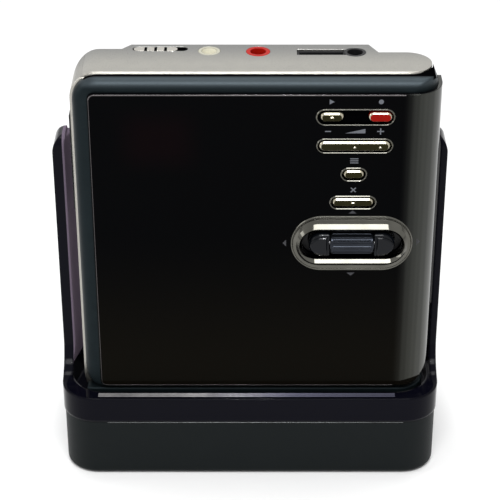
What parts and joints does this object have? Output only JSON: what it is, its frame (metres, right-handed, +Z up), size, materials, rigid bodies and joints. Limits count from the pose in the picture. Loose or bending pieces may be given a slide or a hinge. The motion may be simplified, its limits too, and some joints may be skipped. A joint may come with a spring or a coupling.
{
  "type": "portable clamshell disc recorder in charging dock",
  "caption": "Pocket clamshell disc recorder standing upright in a U-shaped charging dock, with wrap-round glossy lid, jog roller, keys, sockets and disc drive",
  "frame": {"origin": "middle of the dock's footprint, on the table", "axes": "+X to the viewer's right, +Y away from the viewer, +Z up"},
  "size_m": [0.089, 0.04, 0.1018],
  "materials": {
    "silver_shell": "satin blasted aluminium",
    "slate_metal": "dark slate metallic",
    "panel_gloss": "deep black gloss",
    "dock_gloss": "blue-black gloss",
    "dock_satin": "fine satin grain",
    "foot_rubber": "matt",
    "chrome_trim": "bright",
    "silver_key": "satin",
    "red_key": "gloss",
    "roller_black": "gloss",
    "black_plastic": "fine grain",
    "ivory_ring": "gloss",
    "red_ring": "gloss",
    "steel": "brushed",
    "gold_contact": "bright",
    "circuit_board": "satin",
    "battery_wrap": "satin sleeve",
    "display_glass": "dark red filter",
    "lens_glass": "polished"
  },
  "bodies": {
    "dock": {"dock_base": "dock_satin", "dock_bottom_plate": "dock_satin", "dock_feet": "foot_rubber", "dock_screws": "steel", "dock_cradle": "dock_gloss", "dock_contact_block": "black_plastic", "dock_contact_pins": "gold_contact", "dock_circuit_board": "circuit_board", "dock_power_jack": "black_plastic"},
    "player": {"rear_shell": "silver_shell", "top_cap": "silver_shell", "lower_rail": "slate_metal", "chassis": "steel", "case_screws": "steel", "main_board": "circuit_board", "battery_case": "black_plastic", "battery": "battery_wrap", "battery_contacts": "gold_contact", "charge_contacts": "gold_contact", "line_in_jack": "ivory_ring", "mic_jack": "red_ring", "phone_socket": "black_plastic", "hinge_pins": "steel", "spindle_motor": "steel", "guide_rods": "steel", "sled_motor": "steel"},
    "door": {"battery_door": "silver_shell"},
    "hold": {"hold_slider": "chrome_trim"},
    "opener": {"open_slider": "black_plastic"},
    "spindle": {"turntable": "steel"},
    "pickup": {"optical_sled": "black_plastic", "objective_lens": "lens_glass"},
    "feed": {"lead_screw": "steel"},
    "holder": {"disc_holder": "steel", "holder_springs": "steel"},
    "lid": {"lid_frame": "slate_metal", "front_panel": "panel_gloss", "lid_liner": "black_plastic", "lid_screws": "steel", "display_module": "display_glass", "key_board": "circuit_board", "key_bezels": "chrome_trim", "jog_bezel": "chrome_trim"},
    "play": {"play_button": "silver_key"},
    "record": {"record_button": "red_key"},
    "volume": {"volume_rocker": "silver_key"},
    "menu": {"menu_button": "silver_key"},
    "cancel": {"cancel_button": "silver_key"},
    "jog_frame": {"jog_slide_plate": "black_plastic"},
    "jog_press": {"jog_yoke": "panel_gloss", "jog_axle": "steel"},
    "jog_wheel": {"jog_roller": "roller_black"}
  },
  "joints": [
    {"name": "player_lift", "type": "slide", "parent": "dock", "child": "player", "axis": [0, 0, 1], "range_m": [0, 0.08]},
    {"name": "lid_hinge", "type": "hinge", "parent": "player", "child": "lid", "pos_m": [0.0343, -0.0065, 0.0618], "axis": [0, 0, 1], "range_deg": [0, 35]},
    {"name": "holder_hinge", "type": "hinge", "parent": "player", "child": "holder", "pos_m": [0.0343, -0.0065, 0.0618], "axis": [0, 0, 1], "range_deg": [0, 17.5]},
    {"name": "door_hinge", "type": "hinge", "parent": "player", "child": "door", "pos_m": [0.0246, 0.0027, 0.0553], "axis": [0, 0, -1], "range_deg": [0, 90]},
    {"name": "hold_slide", "type": "slide", "parent": "player", "child": "hold", "axis": [1, 0, 0], "range_m": [0, 0.002]},
    {"name": "open_slide", "type": "slide", "parent": "player", "child": "opener", "axis": [0, 0, -1], "range_m": [0, 0.003], "stiffness_N_per_m": 150, "springref_m": -0.002},
    {"name": "spindle_turn", "type": "hinge", "parent": "player", "child": "spindle", "pos_m": [-0.003, -0.005, 0.05975], "axis": [0, 1, 0], "continuous": true},
    {"name": "pickup_slide", "type": "slide", "parent": "player", "child": "pickup", "axis": [0, 0, -1], "range_m": [0, 0.014]},
    {"name": "feed_turn", "type": "hinge", "parent": "player", "child": "feed", "pos_m": [-0.0174, -0.002, 0.036], "axis": [0, 0, 1], "range_deg": [0, 1680]},
    {"name": "play_press", "type": "slide", "parent": "lid", "child": "play", "axis": [0, 1, 0], "range_m": [0, 0.00035], "stiffness_N_per_m": 600, "springref_m": -0.0002},
    {"name": "record_press", "type": "slide", "parent": "lid", "child": "record", "axis": [0, 1, 0], "range_m": [0, 0.00035], "stiffness_N_per_m": 600, "springref_m": -0.0002},
    {"name": "menu_press", "type": "slide", "parent": "lid", "child": "menu", "axis": [0, 1, 0], "range_m": [0, 0.00035], "stiffness_N_per_m": 600, "springref_m": -0.0002},
    {"name": "cancel_press", "type": "slide", "parent": "lid", "child": "cancel", "axis": [0, 1, 0], "range_m": [0, 0.00035], "stiffness_N_per_m": 600, "springref_m": -0.0002},
    {"name": "volume_rock", "type": "hinge", "parent": "lid", "child": "volume", "pos_m": [0.0228, -0.01383, 0.0862], "axis": [0, 0, 1], "range_deg": [-1.2, 1.2], "stiffness_Nm_per_rad": 0.08},
    {"name": "jog_shift", "type": "slide", "parent": "lid", "child": "jog_frame", "axis": [1, 0, 0], "range_m": [-0.001, 0.001], "stiffness_N_per_m": 400},
    {"name": "jog_push", "type": "slide", "parent": "jog_frame", "child": "jog_press", "axis": [0, 1, 0], "range_m": [0, 0.0003], "stiffness_N_per_m": 800, "springref_m": -0.0002},
    {"name": "jog_turn", "type": "hinge", "parent": "jog_press", "child": "jog_wheel", "pos_m": [0.0228, -0.016, 0.0619], "axis": [1, 0, 0], "range_deg": [-20, 20], "stiffness_Nm_per_rad": 0.002}
  ],
  "couplings": [
    {"joint": "holder_hinge", "follows": "lid_hinge", "ratio": 0.5},
    {"joint": "feed_turn", "follows": "pickup_slide", "rad_per_m": 2094.4}
  ]
}
